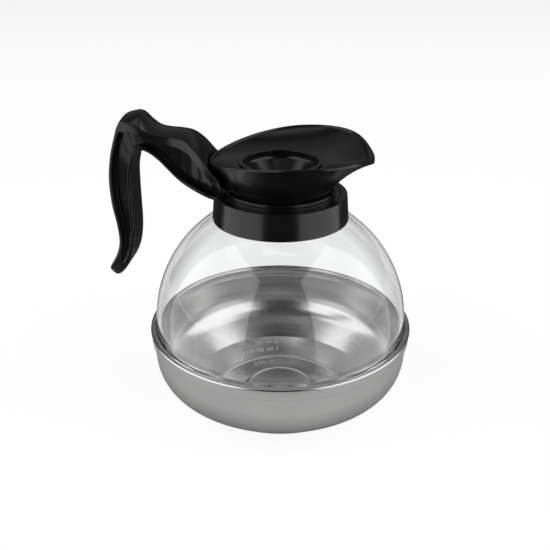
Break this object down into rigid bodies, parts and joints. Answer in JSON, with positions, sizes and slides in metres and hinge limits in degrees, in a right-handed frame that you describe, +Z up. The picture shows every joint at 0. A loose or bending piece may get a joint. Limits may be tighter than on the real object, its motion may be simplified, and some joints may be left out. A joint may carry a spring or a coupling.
{
  "type": "coffee decanter",
  "caption": "Round coffee decanter: shallow steel bowl, clear dome above it, black neck collar with one-sided hooked handle, and a lift-off pouring funnel with a drip hole.",
  "frame": {"origin": "on the surface that the decanter stands on, under the middle of the whole object's box", "axes": "+Z up, +X towards the spout, -X towards the handle, Y across"},
  "size_m": [0.1877, 0.1634, 0.1879],
  "materials": {
    "bowl_steel": "spun and brushed stainless steel sheet, soft satin inside, a polished rolled bead at the rim",
    "clear_polycarbonate": "clear moulded polycarbonate, glossy, colourless",
    "black_plastic": "black moulded polypropylene, semi-gloss",
    "seal_silicone": "translucent grey silicone, matte",
    "screw_steel": "zinc-plated steel, bright"
  },
  "bodies": {
    "root": {"steel_bowl": "bowl_steel", "rim_gasket": "seal_silicone", "clear_dome": "clear_polycarbonate", "neck_collar": "black_plastic", "neck_seal": "seal_silicone", "seat_ring": "black_plastic", "handle": "black_plastic", "handle_screw_left": "screw_steel", "handle_screw_right": "screw_steel"},
    "funnel": {"pouring_funnel": "black_plastic", "drip_cone": "black_plastic", "funnel_seal": "seal_silicone"}
  },
  "joints": [
    {"name": "funnel_lift", "type": "slide", "parent": "root", "child": "funnel", "axis": [0, 0, 1], "range_m": [0, 0.03]}
  ]
}
